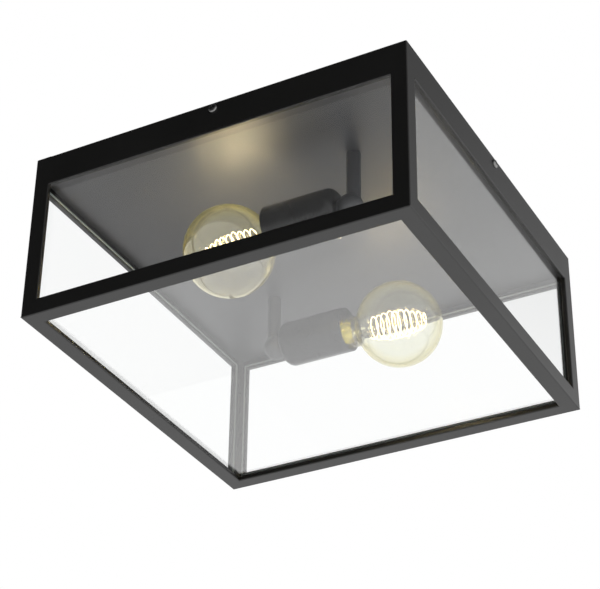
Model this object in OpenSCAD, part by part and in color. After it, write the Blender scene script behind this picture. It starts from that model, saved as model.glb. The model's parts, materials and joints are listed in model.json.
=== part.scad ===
// Square ceiling lantern of folded sheet metal, glazed on five sides, with two screw-cap lamps.
// The origin is the middle of the ceiling plane. The lantern hangs below it, towards -Z.
// The front is -Y. The sides are made once, for the front, and turned into place.

/* [Lantern] */
// Outer width and depth of the square lantern
body_w = 360; // [300:1:440]
// Height from the ceiling to the underside of the bottom frame
body_h = 163; // [150:1:220]
// Face width of the corner posts and of the bottom frame seen from below
post_w = 15; // [10:0.5:22]
// Height of the top band
band_h = 30; // [24:0.5:40]
// Height of the bottom rail's outer face
rail_h = 15.6; // [12:0.1:24]

/* [Sheet metal] */
// Thickness of the frame's and the tray's sheet
sheet_t = 1.2; // [0.8:0.1:1.2]
// Depth of the lip folded inwards round every window
lip_d = 4.2; // [3:0.1:6]
// Outer radius of every fold
fold_r = 1.2; // [1.2:0.1:2]

/* [Glazing] */
// Thickness of the glass panes
glass_t = 3; // [2:0.5:4]
// How far a pane reaches past the window's edge
glass_lap = 3; // [2:0.5:4]

/* [Ceiling tray] */
// Gap between the band's inner face and the tray's wall
tray_gap = 3.8; // [3.6:0.1:6]
// Depth from the ceiling to the underside of the tray's floor
tray_h = 21; // [20:0.5:24]
// Height of the blind screw bosses on the tray's floor
tray_boss_h = 3; // [2:0.5:3]
// Radius of the screw bosses
tray_boss_r = 4.5; // [3.5:0.5:6]

/* [Mounting strap] */
// Width of the ceiling strap
strap_w = 40; // [36:1:60]
// Thickness of the ceiling strap
strap_t = 1.5; // [1:0.1:3]
// Depth of the strap's turned-down ends
strap_end_h = 15; // [13:0.5:17]
// Clearance between the strap's ends and the tray's wall
strap_clearance = 0.5; // [0.3:0.1:1.5]
// Distance between the two ceiling slots
slot_spacing = 120; // [60:1:160]
// Length of a ceiling slot, end to end
slot_len = 26; // [15:1:40]
// Radius of a ceiling slot's round ends
slot_r = 2.75; // [2:0.05:3.5]
// Radius of the hole where the mains cable comes through the strap
cable_hole_r = 9; // [6:0.5:12]
// Sideways offset of the strap screws from the clamp screws
strap_screw_offset = 14; // [12:0.5:16]
// Depth of the strap screws below the ceiling
strap_screw_z = 9; // [8:0.5:10]

/* [Clamp screws] */
// Depth of the clamp screws below the ceiling
clamp_screw_z = 6; // [6:0.5:10]
// Shank radius of the clamp, strap and tray screws
screw_r = 2; // [1.5:0.1:2.5]
// Radial clearance of a screw in its thread
thread_clearance = 0.05; // [0.02:0.01:0.1]
// Radial clearance of a screw in a plain hole
hole_clearance = 0.3; // [0.2:0.05:0.6]
// Radius of the pan heads
head_r = 4; // [3.5:0.1:4.5]
// Height of the pan heads
head_h = 2.2; // [1.8:0.1:2.4]
// Width across the flats of the weld nuts
weld_nut_af = 7; // [6:0.5:8]
// Thickness of the weld nuts
weld_nut_t = 3; // [2:0.1:3]
// Gap between the clamp screw's tip and the tray's wall
tip_gap = 0.05; // [0.03:0.01:0.1]

/* [Lamp arms] */
// Distance of each stem from the middle, across the lantern
arm_x = 85.6; // [70:0.1:100]
// Distance of each stem from the middle, front to back
arm_y = 85.9; // [60:0.1:110]
// Depth of the lampholders' axis below the ceiling
arm_z = 75.2; // [72:0.1:90]
// Radius of the stem tubes
stem_r = 6.2; // [5.5:0.1:8]
// Radius of the bore through the stems
stem_bore_r = 4; // [3:0.1:4.5]
// Radius of the threaded end of the stems and of the elbows
nipple_r = 5; // [4.6:0.1:5.4]
// Radius of the bore along the elbow, from the stem to the lampholder
elbow_bore_r = 3.6; // [3.2:0.1:3.9]
// Radius of the round elbow
elbow_r = 11.7; // [10:0.1:13]
// How far the elbow's middle sits towards the lampholder
elbow_shift = 3; // [0:0.5:4]
// Depth of the socket in the elbow that takes the stem
elbow_socket_d = 5; // [3:0.5:6]
// Thickness of the locknuts on the stems and the elbows
locknut_t = 3; // [2:0.5:4]
// Width across the flats of the locknuts
locknut_af = 14; // [13:0.5:15]
// Thickness of the toothed washer under a stem's locknut
washer_t = 0.8; // [0.5:0.1:1.2]

/* [Lampholder] */
// Wall of the lampholder's shell
shell_t = 1.2; // [0.8:0.1:1.2]
// Distance from the stem to the back of the shell
shell_back = 12.5; // [12:0.1:15]
// Length of the shell
shell_len = 67; // [66:0.5:75]
// Radius of the shell's back edge
shell_round = 8; // [4:0.5:8]
// Radial play of the ceramic insert in the shell, which lets a heavy lamp hang at an angle
insert_play = 3.8; // [3.8:0.1:5]
// Wall of the ceramic insert round the thread shell
insert_wall = 1.65; // [1.5:0.05:2.5]
// Distance from the shell's back to the back of the insert
insert_back = 9.5; // [8:0.5:10]
// Thickness of the insert's floor
insert_floor = 16; // [12:0.5:16]
// Distance from the shell's mouth to the front of the insert
insert_inset = 13.5; // [12:0.5:16]
// Wall of the brass thread shell
thread_shell_wall = 0.4; // [0.3:0.05:0.5]
// Depth of the thread shell's rolled thread
thread_shell_depth = 0.5; // [0.3:0.1:0.6]
// Gap between the heads of the insert's screws and the wall of its bore
insert_head_gap = 1.55; // [1.1:0.05:1.8]
// Radius of the insert's screws
insert_screw_r = 1.5; // [1.2:0.1:1.8]
// Thickness of the steel bridge that the insert's screws turn into
bridge_t = 1.2; // [0.8:0.1:1.6]
// Tilt of the insert and its lamp, from the insert's play in the shell, in degrees
lamp_droop = 5; // [0:0.5:5]

/* [Lamps] */
// Radius of the lamp's globe
globe_r = 40; // [35:0.5:45]
// Thickness of the globe's glass
globe_t = 0.8; // [0.6:0.1:1.2]
// Distance from the cap's rim to the middle of the globe
globe_reach = 54.5; // [52:0.5:60]
// How far the globe's neck stands out past the crests of the cap's thread
neck_step = 0.95; // [0.75:0.05:1.15]
// Length of the screw cap with its tip
cap_len = 26.5; // [25:0.5:28]
// Crest radius of the cap's thread
cap_r = 13.05; // [13:0.01:13.1]
// Depth of the cap's rolled thread
thread_depth = 0.9; // [0.5:0.1:1]
// Distance between two turns of the cap's thread
thread_pitch = 3.62; // [3.5:0.01:3.7]
// Gap between the cap's crests and the thread shell
cap_clearance = 0.3; // [0.25:0.05:0.4]
// How far the front lamp's cap rim lies inside the shell's mouth
front_cap_inset = 13; // [8:0.5:13]
// How far the rear lamp's cap rim lies inside the shell's mouth
rear_cap_inset = 2.5; // [2:0.5:8]

/* [Filament] */
// Length of the spiral filament
filament_len = 56; // [46:1:60]
// Radius of the spiral's middle turns
filament_r = 13.5; // [10:0.5:15]
// Turns of the spiral
filament_turns = 10; // [6:1:12]
// Radius of the filament's wire
filament_wire_r = 0.6; // [0.4:0.1:0.8]

/* [Wiring] */
// Radius of an insulated lead
lead_r = 1.2; // [0.9:0.1:1.3]
// Distance between the middles of a live and a neutral lead
lead_gap = 3.2; // [2.8:0.1:3.4]
// Distance of the terminal block from the middle, front to back
block_y = 52; // [45:1:70]

/* [Hidden] */
$fn = 64;
front = 0;
right = 1;
rear = 2;
left = 3;

half_w = body_w / 2;
window_half = half_w - post_w;
// Heights of the window's edges and of the panes, as Z in the lantern's frame
floor_z = -body_h;
window_top = -band_h;
window_bottom = floor_z + rail_h;
pane_half = window_half + glass_lap;
pane_top = window_top + glass_lap;
pane_bottom = window_bottom - glass_lap;
cut = 1;

tray_half = half_w - sheet_t - tray_gap;
tray_floor_top = -tray_h + sheet_t;
strap_half = tray_half - sheet_t - strap_clearance;
// The clamp screw's shank ends just short of the tray's wall
clamp_shank = half_w - tray_half - tip_gap;

shell_mouth = shell_back + shell_len;
insert_u = shell_back + insert_back;
insert_mouth = shell_mouth - insert_inset;
insert_seat = insert_u + insert_floor;
tilt_u = insert_u + insert_floor / 2;
// From the lamp's cap outwards: thread shell, insert, shell
thread_root_r = cap_r - thread_depth;
thread_shell_inner = cap_r + cap_clearance;
thread_shell_r = thread_shell_inner + thread_shell_depth + thread_shell_wall;
ceramic_clearance = 0.1;
insert_bore_r = thread_shell_r + ceramic_clearance;
insert_r = insert_bore_r + insert_wall;
shell_r = insert_r + insert_play + shell_t;
// The insert's screws keep clear of the wall of its bore and of the locknut's flats
insert_head_r = 2.8;
insert_screw_offset =
    max(insert_bore_r - insert_head_gap - insert_head_r, locknut_af / 2 + insert_screw_r + 0.2);

insulator_len = 5.5;
tip_len = 2.5;
cap_wall = 0.4;
cap_shell_len = cap_len - tip_len - insulator_len;
cap_rim_r = cap_r - 0.15;
cap_base_r = thread_root_r - 0.75;
neck_r = cap_r + neck_step;
globe_s = cap_len + globe_reach;

// Terminal block: three poles side by side along X, standing on a boss of the tray
block_pole = 11;
block_depth = 17;
block_h = 13;
block_wall = 1.6;
block_hole_r = 2.6;
block_base_z = tray_floor_top + tray_boss_h;
earth_screw_x = 34;
// Room under the earth screw's head for the earth wires' eyelets
earth_gap = 1.6;

// ---------------------------------------------------------------- placing
module side(i) { rotate([0, 0, 90 * i]) children(); }

// The stem's axis crosses the lampholder's axis at the origin. +X points to the mouth.
module on_arm(is_rear) {
    translate([is_rear ? -arm_x : arm_x, is_rear ? arm_y : -arm_y, -arm_z])
        rotate([0, 0, is_rear ? 0 : 180])
            children();
}

// The insert's own axis as +Z, with its zero at the stem
module on_insert(is_rear) {
    on_arm(is_rear)
        translate([tilt_u, 0, 0])
            rotate([0, lamp_droop, 0])
                translate([-tilt_u, 0, 0])
                    rotate([0, 90, 0])
                        children();
}

// The lamp's axis as +Z, with its zero at the cap's tip
function lamp_tip_u(is_rear) = shell_mouth - (is_rear ? rear_cap_inset : front_cap_inset) - cap_len;
module on_lamp(is_rear) { on_insert(is_rear) translate([0, 0, lamp_tip_u(is_rear)]) children(); }

// ---------------------------------------------------------------- sheet metal
// One flat leg of a folded section
module leg(x0, y0, x1, y1) { translate([x0, y0]) square([x1 - x0, y1 - y0]); }

// The quarter round outside of a fold, centred on its inner corner and pointing to (dx, dy)
module fold(x, y, dx, dy) {
    intersection() {
        translate([x, y]) circle(r = fold_r);
        translate([x + (dx > 0 ? 0 : -fold_r), y + (dy > 0 ? 0 : -fold_r)]) square(fold_r);
    }
}

// Section of the top band: X is depth behind the outer face, Y is height
module band_section() {
    leg(0, -band_h + fold_r, sheet_t, 0);
    leg(fold_r, -band_h, lip_d, -band_h + sheet_t);
    fold(fold_r, -band_h + fold_r, -1, -1);
}

// Face and lips of the bottom rail, above its floor flange
module rail_section() {
    leg(0, floor_z + fold_r, sheet_t, window_bottom - fold_r);
    leg(fold_r, window_bottom - sheet_t, lip_d, window_bottom);
    fold(fold_r, window_bottom - fold_r, -1, 1);
}

// Floor flange of the bottom rail, with the fold to its face
module flange_section() {
    leg(fold_r, floor_z, post_w - fold_r, floor_z + sheet_t);
    fold(fold_r, floor_z + fold_r, -1, -1);
    leg(post_w - sheet_t, floor_z + fold_r, post_w, floor_z + lip_d);
    fold(post_w - fold_r, floor_z + fold_r, 1, -1);
}

// Runs a section along the front side, over plus and minus half_len
module along_front(half_len) {
    translate([-half_len, -half_w, 0]) rotate([90, 0, 90]) linear_extrude(2 * half_len) children();
}

module band(i) {
    color("#1b1b1b") side(i) difference() {
        along_front(window_half) band_section();
        translate([0, -half_w - cut, -clamp_screw_z])
            rotate([-90, 0, 0])
                cylinder(r = screw_r + hole_clearance, h = sheet_t + 2 * cut);
    }
}

// Front half of the lantern's plan cut at 45 degrees, for the mitred floor flanges
module mitre_mask() {
    translate([0, 0, floor_z - cut]) linear_extrude(lip_d + 2 * cut)
        polygon([[0, 0], [-half_w - cut, -half_w - cut], [half_w + cut, -half_w - cut]]);
}

module rail(i) {
    color("#1b1b1b") side(i) {
        along_front(window_half) rail_section();
        intersection() {
            along_front(half_w) flange_section();
            mitre_mask();
        }
    }
}

// Plan of the front right post: X and Y run from the corner along the front and the right face
module post_plan() {
    leg(fold_r, 0, post_w, sheet_t);
    leg(0, fold_r, sheet_t, post_w);
    fold(fold_r, fold_r, -1, -1);
}

module post_window_plan() {
    leg(fold_r, 0, post_w - fold_r, sheet_t);
    leg(0, fold_r, sheet_t, post_w - fold_r);
    fold(fold_r, fold_r, -1, -1);
    leg(post_w - sheet_t, fold_r, post_w, lip_d);
    leg(fold_r, post_w - sheet_t, lip_d, post_w);
    fold(post_w - fold_r, fold_r, 1, -1);
    fold(fold_r, post_w - fold_r, -1, 1);
}

module post(i) {
    color("#1b1b1b") side(i) translate([half_w, -half_w, 0]) mirror([1, 0, 0]) {
        translate([0, 0, floor_z + fold_r])
            linear_extrude(rail_h - sheet_t - fold_r) post_plan();
        translate([0, 0, window_bottom - sheet_t])
            linear_extrude(window_top - window_bottom + 2 * sheet_t) post_window_plan();
        translate([0, 0, window_top + sheet_t]) linear_extrude(band_h - sheet_t) post_plan();
    }
}

// ---------------------------------------------------------------- glazing
module pane(i) {
    color("white", 0.3) side(i)
        translate([-pane_half, -half_w + lip_d, pane_bottom])
            cube([2 * pane_half, glass_t, pane_top - pane_bottom]);
}

module floor_pane() {
    color("white", 0.3)
        translate([-pane_half, -pane_half, floor_z + lip_d])
            cube([2 * pane_half, 2 * pane_half, glass_t]);
}

// Silicone between the sheet and the pane, hidden behind the lip
module side_bead() {
    translate([0, -half_w + sheet_t, 0]) rotate([-90, 0, 0]) linear_extrude(lip_d - sheet_t)
        difference() {
            translate([-pane_half, -pane_top]) square([2 * pane_half, pane_top - pane_bottom]);
            translate([-window_half - sheet_t, -window_top - sheet_t])
                square([2 * (window_half + sheet_t), window_top - window_bottom + 2 * sheet_t]);
        }
}

module glazing_beads() {
    color("#222222") {
        for (i = [front : left]) side(i) side_bead();
        translate([0, 0, floor_z + sheet_t]) linear_extrude(lip_d - sheet_t) difference() {
            square(2 * pane_half, center = true);
            square(2 * (window_half + sheet_t), center = true);
        }
    }
}

// ---------------------------------------------------------------- clamp screws
// Pan head with a cross recess, seated at Z = 0 with its shank down to -len
module pan_screw(len) {
    recess = head_r * 0.55;
    recess_w = head_r * 0.2;
    difference() {
        rotate_extrude() polygon([
            [0, -len], [screw_r - 0.4, -len], [screw_r, -len + 0.4], [screw_r, 0], [head_r, 0],
            [head_r, head_h * 0.45], [head_r * 0.82, head_h * 0.85], [head_r * 0.5, head_h],
            [0, head_h]
        ]);
        for (a = [0, 90]) rotate([0, 0, a])
            translate([-recess, -recess_w, head_h * 0.4]) cube([2 * recess, 2 * recess_w, head_h]);
    }
}

module clamp_screw(i) {
    color("silver") side(i)
        translate([0, -half_w, -clamp_screw_z]) rotate([90, 0, 0]) pan_screw(clamp_shank);
}

module weld_nuts() {
    color("silver") for (i = [front : left]) side(i)
        translate([0, -half_w + sheet_t, -clamp_screw_z]) rotate([-90, 0, 0]) difference() {
            cylinder(d = weld_nut_af / cos(30), h = weld_nut_t, $fn = 6);
            translate([0, 0, -cut]) cylinder(r = screw_r + thread_clearance, h = weld_nut_t + 2 * cut);
        }
}

// ---------------------------------------------------------------- strap and tray
// The two strap screws sit left and right, on opposite sides of the clamp screws
module at_strap_screws() {
    for (i = [right, left]) side(i)
        translate([strap_screw_offset, -tray_half, -strap_screw_z]) rotate([90, 0, 0]) children();
}

module mounting_strap() {
    color("gainsboro") difference() {
        union() {
            translate([-strap_half, -strap_w / 2, -strap_t]) cube([2 * strap_half, strap_w, strap_t]);
            for (x = [-strap_half, strap_half - strap_t])
                translate([x, -strap_w / 2, -strap_end_h]) cube([strap_t, strap_w, strap_end_h]);
        }
        translate([0, 0, -strap_t - cut]) cylinder(r = cable_hole_r, h = strap_t + 2 * cut);
        for (x = [-slot_spacing / 2, slot_spacing / 2]) translate([x, 0, -strap_t - cut]) {
            for (dx = [-slot_len / 2 + slot_r, slot_len / 2 - slot_r])
                translate([dx, 0, 0]) cylinder(r = slot_r, h = strap_t + 2 * cut);
            translate([-slot_len / 2 + slot_r, -slot_r, 0])
                cube([slot_len - 2 * slot_r, 2 * slot_r, strap_t + 2 * cut]);
        }
        at_strap_screws() translate([0, 0, -strap_screw_len])
            cylinder(r = screw_r + thread_clearance, h = strap_screw_len);
    }
}

strap_screw_len = sheet_t + strap_clearance + strap_t + 2;

module strap_screws() { color("silver") at_strap_screws() pan_screw(strap_screw_len); }

module ceiling_tray() {
    color("#2a2a2a") difference() {
        union() {
            difference() {
                translate([-tray_half, -tray_half, -tray_h]) cube([2 * tray_half, 2 * tray_half, tray_h]);
                translate([-tray_half + sheet_t, -tray_half + sheet_t, tray_floor_top])
                    cube([2 * (tray_half - sheet_t), 2 * (tray_half - sheet_t), tray_h]);
            }
            at_tray_screws() cylinder(r = tray_boss_r, h = tray_boss_h);
        }
        for (is_rear = [false, true]) on_arm(is_rear)
            translate([0, 0, arm_z - tray_h - cut])
                cylinder(r = nipple_r + hole_clearance, h = sheet_t + 2 * cut);
        at_strap_screws() translate([0, 0, -sheet_t - cut])
            cylinder(r = screw_r + hole_clearance, h = sheet_t + 2 * cut);
        at_tray_screws() cylinder(r = screw_r + thread_clearance, h = tray_boss_h + cut);
    }
}

// One screw clamps the terminal block, the other one is the earth terminal
module at_tray_screws() {
    for (x = [0, earth_screw_x]) translate([x, block_y, tray_floor_top]) children();
}

// Both screws end just short of the plate, so nothing shows from below
module tray_screws() {
    color("silver") {
        translate([0, block_y, block_base_z + block_h]) pan_screw(tray_boss_h + block_h - tip_gap);
        translate([earth_screw_x, block_y, block_base_z + earth_gap])
            pan_screw(tray_boss_h + earth_gap - tip_gap);
    }
}

// ---------------------------------------------------------------- terminal block and leads
module pole_place() { for (n = [-1, 1]) translate([n * block_pole, 0, 0]) children(); }

module terminal_block() {
    color("ivory") translate([0, block_y, block_base_z]) difference() {
        translate([-1.5 * block_pole - block_wall, -block_depth / 2, 0])
            cube([3 * block_pole + 2 * block_wall, block_depth, block_h]);
        translate([0, 0, -cut]) cylinder(r = screw_r + hole_clearance, h = block_h + 2 * cut);
        pole_place() {
            translate([0, -block_depth, block_h / 2]) rotate([-90, 0, 0])
                cylinder(r = block_hole_r, h = 2 * block_depth);
            for (y = [-block_depth / 4, block_depth / 4]) translate([0, y, block_h / 2])
                cylinder(r = block_hole_r - 0.6, h = block_h);
        }
    }
}

brass_len = 13;
brass_wall = 0.8;

module terminal_brass() {
    color("goldenrod") translate([0, block_y, block_base_z + block_h / 2]) pole_place() {
        difference() {
            translate([0, brass_len / 2, 0]) rotate([90, 0, 0]) cylinder(r = block_hole_r, h = brass_len);
            translate([0, brass_len / 2 + cut, 0]) rotate([90, 0, 0])
                cylinder(r = block_hole_r - brass_wall, h = brass_len + 2 * cut);
        }
        for (y = [-block_depth / 4, block_depth / 4]) translate([0, y, block_hole_r])
            cylinder(r = block_hole_r - 0.9, h = 2.4);
    }
}

// A tube of the given radius swept along points, as one closed skin
function unit(v) = v / norm(v);
function tangent(p, k) = unit(p[min(k + 1, len(p) - 1)] - p[max(k - 1, 0)]);
function across(t) = unit(cross(t, abs(t.z) > 0.9 ? [1, 0, 0] : [0, 0, 1]));
function carry(v, t) = unit(v - (v * t) * t);
function frames(p, k = 0, v = undef, out = []) =
    k == len(p) ? out
    : let (t = tangent(p, k), n = is_undef(v) ? across(t) : carry(v, t))
        frames(p, k + 1, n, concat(out, [[n, cross(t, n)]]));

module swept_tube(p, r, sides) {
    f = frames(p);
    rings = len(p);
    skin = [for (k = [0 : rings - 1]) for (j = [0 : sides - 1])
        p[k] + r * (cos(360 * j / sides) * f[k][0] + sin(360 * j / sides) * f[k][1])];
    wall = [for (k = [0 : rings - 2]) for (j = [0 : sides - 1])
        let (a = k * sides + j, b = k * sides + (j + 1) % sides) each
        [[a, b, b + sides], [a, b + sides, a + sides]]];
    first = [for (j = [1 : sides - 2]) [0, j + 1, j]];
    last = [for (j = [1 : sides - 2]) let (z = (rings - 1) * sides) [z, z + j, z + j + 1]];
    polyhedron(points = skin, faces = [for (t = concat(wall, first, last)) [t[2], t[1], t[0]]]);
}

// A quarter bend between two directions, as points on an arc round the corner
bend_steps = 5;
function bend(corner, from, to, r) = [for (n = [0 : bend_steps])
    let (a = 90 * n / bend_steps) corner + r * ((1 - sin(a)) * from + (1 - cos(a)) * to)];

lead_bend = 5;
lead_z = block_base_z + block_h / 2;
// Depth below the ceiling at which a lead turns down into a stem
lead_hop = 5.5;
// Straight length of a lead out of the block
lead_run = 18;
lead_end_gap = 1;

// The rear lamp's leads turn left behind the block, and end beside the stem
function rear_lead_run(n, off) =
    let (turn_y = block_y + lead_run + 2 * n)
    [[n * block_pole, turn_y - 3, lead_z], [n * block_pole - 4, turn_y, lead_z],
        [-arm_x + 24, arm_y + off - 4, lead_z]];

// The front lamp's leads pass under the strap, side by side, and end beside the stem
function front_lead_run(n, off) =
    let (start = [lead_bend, -lead_bend, lead_z], stop = [arm_x - 40, -arm_y + 17, lead_z],
        along = unit(stop - start), apart = [-along.y, along.x, 0] * off)
    [[n * block_pole, block_y - lead_run, lead_z], start + apart, stop + apart];

// Route of one lead: out of the block, over the tray, down the stem and along the lampholder
function lead_route(n, is_rear) =
    let (s = is_rear ? 1 : -1,
        off = n * lead_gap / 2,
        stem_x = is_rear ? -arm_x : arm_x,
        arm_mid_y = is_rear ? arm_y : -arm_y,
        stem_y = arm_mid_y + off,
        leave = [n * block_pole, block_y + s * brass_len / 2, lead_z],
        turn_in = [is_rear ? 1 : -1, 0, 0])
    concat(
        [leave],
        is_rear ? rear_lead_run(n, off) : front_lead_run(n, off),
        [[stem_x, stem_y, lead_z + 1] + 14 * turn_in],
        bend([stem_x, stem_y, -lead_hop], turn_in, [0, 0, -1], lead_bend),
        bend([stem_x, stem_y, -arm_z], [0, 0, 1], [s, 0, 0], lead_bend),
        [[stem_x + s * elbow_nipple_len, stem_y, -arm_z],
            [stem_x + s * (insert_u - lead_end_gap), arm_mid_y + 2 * off, -arm_z]]
    );

module lamp_leads(is_rear) {
    color("sienna") swept_tube(lead_route(1, is_rear), lead_r, 8);
    color("steelblue") swept_tube(lead_route(-1, is_rear), lead_r, 8);
}

// ---------------------------------------------------------------- stems and elbows
stem_foot = sqrt(pow(elbow_r, 2) - pow(elbow_shift, 2)) - elbow_socket_d;
stem_head = arm_z - tray_h;
nipple_top = arm_z + tray_floor_top + washer_t + locknut_t + 2;

module stem(is_rear) {
    color("#2a2a2a") on_arm(is_rear) difference() {
        union() {
            translate([0, 0, stem_foot]) cylinder(r = stem_r, h = stem_head - stem_foot);
            translate([0, 0, stem_foot]) cylinder(r = nipple_r, h = nipple_top - stem_foot);
        }
        translate([0, 0, stem_foot - cut]) cylinder(r = stem_bore_r, h = nipple_top - stem_foot + 2 * cut);
    }
}

module at_stem_tops(z) {
    for (is_rear = [false, true]) on_arm(is_rear) translate([0, 0, arm_z + tray_floor_top + z]) children();
}

module stem_washers() {
    color("silver") at_stem_tops(0) difference() {
        cylinder(r = locknut_af / 2 + 1, h = washer_t);
        translate([0, 0, -cut]) cylinder(r = nipple_r + hole_clearance, h = washer_t + 2 * cut);
    }
}

module locknut() {
    difference() {
        cylinder(d = locknut_af / cos(30), h = locknut_t, $fn = 6);
        translate([0, 0, -cut]) cylinder(r = nipple_r + thread_clearance, h = locknut_t + 2 * cut);
    }
}

// One on top of each stem, and one inside each lampholder's shell
module arm_locknuts() {
    color("silver") {
        at_stem_tops(washer_t) locknut();
        for (is_rear = [false, true]) on_arm(is_rear)
            translate([bridge_u + bridge_t, 0, 0]) rotate([0, 90, 0]) locknut();
    }
}

boss_r = 8.5;
bridge_u = shell_back + shell_t;
elbow_nipple_len = bridge_u + bridge_t + locknut_t + 0.5;

// Half outline of the ball, its boss and its threaded end, turned about the lampholder's axis
module elbow_outline() {
    intersection() {
        translate([0, elbow_shift]) circle(r = elbow_r);
        translate([0, elbow_shift - elbow_r]) square([elbow_r, shell_back - elbow_shift + elbow_r]);
    }
    translate([0, elbow_shift]) square([boss_r, shell_back - elbow_shift]);
    translate([0, elbow_shift]) square([nipple_r, elbow_nipple_len - elbow_shift]);
}

module elbow(is_rear) {
    color("#2a2a2a") on_arm(is_rear) difference() {
        rotate([0, 90, 0]) rotate_extrude() elbow_outline();
        translate([0, 0, stem_foot]) cylinder(r = stem_r + thread_clearance, h = elbow_r);
        cylinder(r = stem_bore_r, h = elbow_r);
        translate([-stem_bore_r, 0, 0]) rotate([0, 90, 0])
            cylinder(r = elbow_bore_r, h = elbow_nipple_len + 2 * stem_bore_r);
    }
}

// ---------------------------------------------------------------- lampholder
mouth_bead = 0.6;

module holder_shell(is_rear) {
    inner = shell_r - shell_t;
    inner_round = shell_round - shell_t;
    color("#2a2a2a") on_arm(is_rear) rotate([0, 90, 0]) difference() {
        rotate_extrude() difference() {
            union() {
                translate([0, shell_back]) square([shell_r - shell_round, shell_len]);
                translate([0, shell_back + shell_round])
                    square([shell_r, shell_len - shell_round - mouth_bead]);
                translate([shell_r - mouth_bead, shell_mouth - mouth_bead]) circle(r = mouth_bead);
                translate([0, shell_mouth - 2 * mouth_bead]) square([shell_r - mouth_bead, 2 * mouth_bead]);
                intersection() {
                    translate([shell_r - shell_round, shell_back + shell_round]) circle(r = shell_round);
                    translate([0, shell_back]) square([shell_r, shell_round]);
                }
            }
            translate([0, shell_back + shell_t]) square([inner - inner_round, shell_len]);
            translate([0, shell_back + shell_round]) square([inner, shell_len]);
            intersection() {
                translate([inner - inner_round, shell_back + shell_round]) circle(r = inner_round);
                translate([0, shell_back]) square([inner, shell_round]);
            }
            translate([-shell_r, 0]) square([shell_r, 2 * shell_mouth]);
        }
        translate([0, 0, shell_back - cut]) cylinder(r = nipple_r + thread_clearance, h = shell_t + 2 * cut);
    }
}

module holder_insert(is_rear) {
    color("white") on_insert(is_rear) difference() {
        translate([0, 0, insert_u]) cylinder(r = insert_r, h = insert_mouth - insert_u);
        translate([0, 0, insert_seat]) cylinder(r = insert_bore_r, h = insert_mouth);
        at_insert_screws() cylinder(r = insert_screw_r + hole_clearance, h = insert_mouth);
    }
}

insert_head_h = 1.8;
// The screws end inside the bridge, clear of the shell's back
insert_screw_end = bridge_u + 0.3;
bridge_w = 16;
// The bridge fits on the flat of the shell's back, inside its round edge
bridge_r = shell_r - shell_round;

module at_insert_screws() {
    for (y = [-insert_screw_offset, insert_screw_offset]) translate([0, y, 0]) children();
}

// Each bridge is clamped under the lampholder's locknut. Its holes follow the tilted insert.
module insert_fixings() {
    color("silver") for (is_rear = [false, true]) {
        difference() {
            on_arm(is_rear) translate([bridge_u, 0, 0]) rotate([0, 90, 0]) linear_extrude(bridge_t)
                intersection() { circle(r = bridge_r); square([bridge_w, 2 * bridge_r], center = true); }
            on_arm(is_rear) rotate([0, 90, 0])
                cylinder(r = nipple_r + hole_clearance, h = elbow_nipple_len);
            on_insert(is_rear) at_insert_screws()
                cylinder(r = insert_screw_r + thread_clearance, h = insert_u);
        }
        on_insert(is_rear) at_insert_screws() {
            translate([0, 0, insert_screw_end])
                cylinder(r = insert_screw_r, h = insert_seat - insert_screw_end);
            translate([0, 0, insert_seat]) cylinder(r = insert_head_r, h = insert_head_h);
        }
    }
}

// A rolled thread is drawn as rings, one wave to each turn
thread_steps = 8;
function wave(z, r, depth) = r + depth / 2 * (1 - cos(360 * z / thread_pitch));
function wavy_line(z0, z1, r, depth) =
    let (n = ceil((z1 - z0) / thread_pitch * thread_steps))
    [for (k = [0 : n]) let (z = z0 + (z1 - z0) * k / n) [wave(z - z0, r, depth), z]];
function reversed(p) = [for (k = [len(p) - 1 : -1 : 0]) p[k]];

thread_shell_back = insert_head_h + 0.7;

module thread_shell(is_rear) {
    line = wavy_line(
        insert_seat + thread_shell_back, insert_mouth - 2, thread_shell_inner, thread_shell_depth
    );
    color("goldenrod") on_insert(is_rear) rotate_extrude()
        polygon(concat(line, reversed([for (q = line) q + [thread_shell_wall, 0]])));
}

// Sprung tongue: a foot on the insert's floor, a riser and a pad that meets the lamp's tip
tongue_t = 0.5;
tongue_w = 7;
tongue_gap = 0.1;

module centre_contact(is_rear) {
    reach = lamp_tip_u(is_rear) - tongue_gap;
    pad = 3;
    color("goldenrod") on_insert(is_rear) translate([0, tongue_w / 2, 0]) rotate([90, 0, 0])
        linear_extrude(tongue_w) polygon([
            [-8, insert_seat], [-8, insert_seat + tongue_t], [5, insert_seat + tongue_t],
            [pad - tongue_t, reach - tongue_t], [-pad, reach - tongue_t], [-pad, reach],
            [pad, reach], [5 + tongue_t, insert_seat + tongue_t], [5 + tongue_t, insert_seat]
        ]);
}

// ---------------------------------------------------------------- lamps
module lamp_tip(is_rear) {
    color("silver") on_lamp(is_rear) rotate_extrude() polygon([
        [0, 0], [3, 0], [4.2, 0.8], [4.8, tip_len], [0, tip_len]
    ]);
}

module lamp_insulator(is_rear) {
    base = cap_len - cap_shell_len;
    color("#333344") on_lamp(is_rear) rotate_extrude() polygon([
        [0, tip_len], [5.2, tip_len], [7, tip_len + 1.6], [cap_base_r - 0.2, base], [0, base]
    ]);
}

module lamp_cap(is_rear) {
    base = cap_len - cap_shell_len;
    line = wavy_line(base + 1, base + 1 + 4 * thread_pitch, thread_root_r, thread_depth);
    outside = concat(
        [[0, base], [cap_base_r, base]], line, [[thread_root_r, cap_len - 1], [cap_rim_r, cap_len]]
    );
    inside = [[cap_rim_r - cap_wall, cap_len], [thread_root_r - cap_wall, cap_len - 1],
        [thread_root_r - cap_wall, base + cap_wall], [0, base + cap_wall]];
    color("#c8b070") on_lamp(is_rear) rotate_extrude() polygon(concat(outside, inside));
}

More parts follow.
